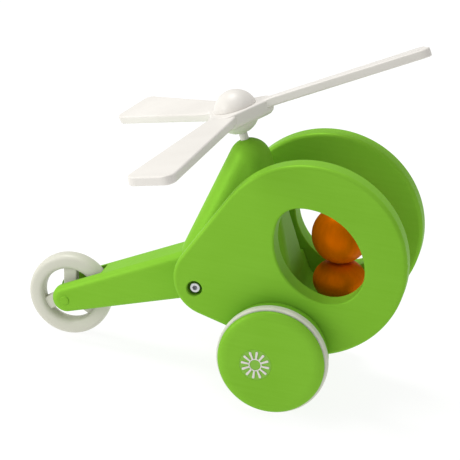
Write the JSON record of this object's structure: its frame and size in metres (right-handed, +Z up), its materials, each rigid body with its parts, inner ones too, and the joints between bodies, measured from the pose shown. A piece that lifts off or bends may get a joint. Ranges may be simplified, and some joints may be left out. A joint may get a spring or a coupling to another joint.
{
  "type": "toy helicopter",
  "caption": "Wooden rolling toy helicopter with off-centre main wheels, a leaning rotor, a tail wheel and a round peg pilot.",
  "frame": {"origin": "on the floor the wheels stand on, in the middle plane, straight below the centre of the side plates' big arc", "axes": "+X forward (towards the open cabin front), +Y to the toy's left, +Z up"},
  "size_m": [0.1917, 0.1672, 0.1743],
  "materials": {
    "green_lacquered_wood": "satin lacquer",
    "orange_lacquered_wood": "satin stain and lacquer",
    "plain_wood": "bare beech",
    "white_plastic": "satin moulded",
    "green_plastic": "satin moulded",
    "pale_rubber": "matt",
    "steel": "bright zinc plate"
  },
  "bodies": {
    "chassis": {"body_block": "green_lacquered_wood", "left_side_plate": "green_lacquered_wood", "right_side_plate": "green_lacquered_wood", "tail_boom": "green_lacquered_wood", "tail_axle": "green_lacquered_wood", "cross_bolt": "steel", "cross_bolt_sleeve": "steel", "rear_dowel": "plain_wood", "front_dowel": "plain_wood", "left_axle_bush": "white_plastic", "right_axle_bush": "white_plastic", "shaft_keeper": "steel", "pilot_peg": "plain_wood"},
    "wheelset": {"main_axle": "steel", "left_wheel": "green_lacquered_wood", "right_wheel": "green_lacquered_wood", "left_tyre": "pale_rubber", "right_tyre": "pale_rubber", "left_hub_cap": "green_plastic", "right_hub_cap": "green_plastic", "left_hub_badge": "white_plastic", "right_hub_badge": "white_plastic"},
    "rotor_set": {"rotor": "white_plastic", "rotor_cap": "white_plastic", "rotor_cup": "white_plastic", "rotor_shaft": "white_plastic"},
    "tail_roller": {"tail_wheel": "white_plastic"},
    "pilot": {"pilot_body": "orange_lacquered_wood", "pilot_head": "orange_lacquered_wood"}
  },
  "joints": [
    {"name": "main_axle_spin", "type": "hinge", "parent": "chassis", "child": "wheelset", "pos_m": [-0.014, 0, 0.0254], "axis": [0, 1, 0], "continuous": true},
    {"name": "rotor_spin", "type": "hinge", "parent": "chassis", "child": "rotor_set", "pos_m": [-0.0473, 0, 0.13309], "axis": [-0.4091, 0, 0.9125], "continuous": true},
    {"name": "tail_wheel_spin", "type": "hinge", "parent": "chassis", "child": "tail_roller", "pos_m": [-0.12107, 0, 0.02155], "axis": [0, 1, 0], "continuous": true},
    {"name": "pilot_turn", "type": "hinge", "parent": "chassis", "child": "pilot", "pos_m": [0.01526, 0, 0.04804], "axis": [-0.1131, 0, 0.9936], "continuous": true}
  ]
}
